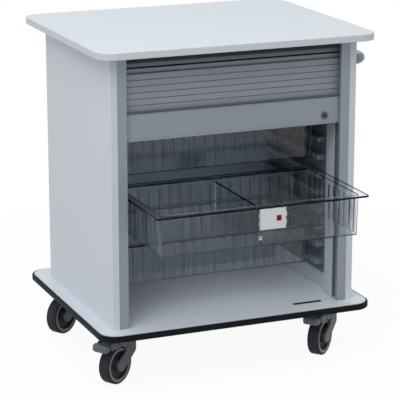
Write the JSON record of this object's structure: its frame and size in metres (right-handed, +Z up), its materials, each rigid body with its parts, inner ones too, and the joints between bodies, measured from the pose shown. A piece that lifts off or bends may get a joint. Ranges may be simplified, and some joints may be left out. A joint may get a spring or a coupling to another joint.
{
  "type": "shutter box trolley",
  "caption": "Cabinet trolley on swivel castors with a tambour shutter, clear pull-out trays on ledged runners, a flat worktop and a side handle.",
  "frame": {"origin": "on the floor under the middle of the base deck, between the four castors", "axes": "+Z up, the shutter faces -Y, +X is the side with the handle"},
  "size_m": [0.777, 0.752, 0.86],
  "materials": {
    "laminate": "satin white-grey laminate",
    "edge_band": "smooth grey edging",
    "bumper": "matt black",
    "side_board": "satin grey laminate",
    "runner": "moulded light grey",
    "aluminium": "anodised, satin",
    "slat": "grey, satin",
    "shoe": "black nylon",
    "lock": "polished",
    "clear": "clear polycarbonate",
    "card": "plain white card",
    "marker": "dark red",
    "handle": "grey powder coat",
    "steel": "zinc plated",
    "fork": "dark grey moulding",
    "pedal": "light grey moulding",
    "wheel": "black moulding",
    "tyre": "dark grey rubber"
  },
  "bodies": {
    "cabinet": {"base_deck": "laminate", "base_bumper": "bumper", "worktop": "laminate", "worktop_edge": "edge_band", "side_panel_left": "side_board", "side_panel_right": "side_board", "rear_panel": "side_board", "liner_left": "side_board", "liner_right": "side_board", "inner_back": "side_board", "inner_roof": "side_board", "runner_left": "runner", "runner_right": "runner", "guide_post_left": "aluminium", "guide_post_right": "aluminium", "shutter_track_left": "aluminium", "shutter_track_right": "aluminium", "stored_slats": "slat", "side_handle": "handle", "handle_rosettes": "handle", "handle_bolts": "steel", "panel_screws": "steel", "castor_screws": "steel", "front_left_castor_head": "steel", "front_right_castor_head": "steel", "rear_left_castor_head": "steel", "rear_right_castor_head": "steel"},
    "shutter": {"end_bar": "aluminium", "end_bar_shoes": "shoe", "lock_body": "lock"},
    "slat_leaf": {"shutter_slats": "slat"},
    "lock": {"lock_plug": "lock", "lock_cam": "steel"},
    "upper_tray": {"upper_tray": "clear"},
    "middle_tray": {"middle_tray": "clear", "tray_divider": "clear", "label_holder": "clear", "label_card": "card", "label_marker": "marker"},
    "lower_tray": {"lower_tray": "clear"},
    "front_left_castor_fork": {"front_left_castor_fork": "fork", "front_left_castor_axle": "steel"},
    "front_left_castor_wheel": {"front_left_castor_wheel": "wheel", "front_left_castor_tyre": "tyre"},
    "front_left_castor_pedal": {"front_left_castor_pedal": "pedal"},
    "front_right_castor_fork": {"front_right_castor_fork": "fork", "front_right_castor_axle": "steel"},
    "front_right_castor_wheel": {"front_right_castor_wheel": "wheel", "front_right_castor_tyre": "tyre"},
    "front_right_castor_pedal": {"front_right_castor_pedal": "pedal"},
    "rear_left_castor_fork": {"rear_left_castor_fork": "fork", "rear_left_castor_axle": "steel"},
    "rear_left_castor_wheel": {"rear_left_castor_wheel": "wheel", "rear_left_castor_tyre": "tyre"},
    "rear_right_castor_fork": {"rear_right_castor_fork": "fork", "rear_right_castor_axle": "steel"},
    "rear_right_castor_wheel": {"rear_right_castor_wheel": "wheel", "rear_right_castor_tyre": "tyre"}
  },
  "joints": [
    {"name": "shutter_slide", "type": "slide", "parent": "cabinet", "child": "shutter", "axis": [0, 0, 1], "range_m": [-0.14, 0.066]},
    {"name": "slat_feed", "type": "slide", "parent": "cabinet", "child": "slat_leaf", "axis": [0, 0, 1], "range_m": [-0.094, 0.0445]},
    {"name": "lock_turn", "type": "hinge", "parent": "shutter", "child": "lock", "pos_m": [0.25, -0.245, 0.648], "axis": [0, -1, 0], "range_deg": [0, 90]},
    {"name": "upper_tray_slide", "type": "slide", "parent": "cabinet", "child": "upper_tray", "axis": [0, -1, 0], "range_m": [0, 0.25]},
    {"name": "middle_tray_slide", "type": "slide", "parent": "cabinet", "child": "middle_tray", "axis": [0, -1, 0], "range_m": [-0.261, 0.02]},
    {"name": "lower_tray_slide", "type": "slide", "parent": "cabinet", "child": "lower_tray", "axis": [0, -1, 0], "range_m": [0, 0.25]},
    {"name": "front_left_swivel", "type": "hinge", "parent": "cabinet", "child": "front_left_castor_fork", "pos_m": [-0.285, -0.21, 0.1], "axis": [0, 0, 1], "continuous": true},
    {"name": "front_left_roll", "type": "hinge", "parent": "front_left_castor_fork", "child": "front_left_castor_wheel", "pos_m": [-0.31782, -0.23107, 0.05], "axis": [0.5402, -0.8415, 0], "continuous": true},
    {"name": "front_left_brake", "type": "hinge", "parent": "front_left_castor_fork", "child": "front_left_castor_pedal", "pos_m": [-0.32708, -0.23701, 0.1119], "axis": [0.5402, -0.8415, 0], "range_deg": [0, 12]},
    {"name": "front_right_swivel", "type": "hinge", "parent": "cabinet", "child": "front_right_castor_fork", "pos_m": [0.285, -0.21, 0.1], "axis": [0, 0, 1], "continuous": true},
    {"name": "front_right_roll", "type": "hinge", "parent": "front_right_castor_fork", "child": "front_right_castor_wheel", "pos_m": [0.25534, -0.23533, 0.05], "axis": [0.6494, -0.7604, 0], "continuous": true},
    {"name": "front_right_brake", "type": "hinge", "parent": "front_right_castor_fork", "child": "front_right_castor_pedal", "pos_m": [0.24698, -0.24247, 0.1119], "axis": [0.6494, -0.7604, 0], "range_deg": [0, 12]},
    {"name": "rear_left_swivel", "type": "hinge", "parent": "cabinet", "child": "rear_left_castor_fork", "pos_m": [-0.285, 0.21, 0.1], "axis": [0, 0, 1], "continuous": true},
    {"name": "rear_left_roll", "type": "hinge", "parent": "rear_left_castor_fork", "child": "rear_left_castor_wheel", "pos_m": [-0.31789, 0.18904, 0.05], "axis": [0.5373, -0.8434, 0], "continuous": true},
    {"name": "rear_right_swivel", "type": "hinge", "parent": "cabinet", "child": "rear_right_castor_fork", "pos_m": [0.285, 0.21, 0.1], "axis": [0, 0, 1], "continuous": true},
    {"name": "rear_right_roll", "type": "hinge", "parent": "rear_right_castor_fork", "child": "rear_right_castor_wheel", "pos_m": [0.25345, 0.18708, 0.05], "axis": [0.5878, -0.809, 0], "continuous": true}
  ],
  "couplings": [
    {"joint": "slat_feed", "follows": "shutter_slide", "ratio": 0.66667}
  ]
}
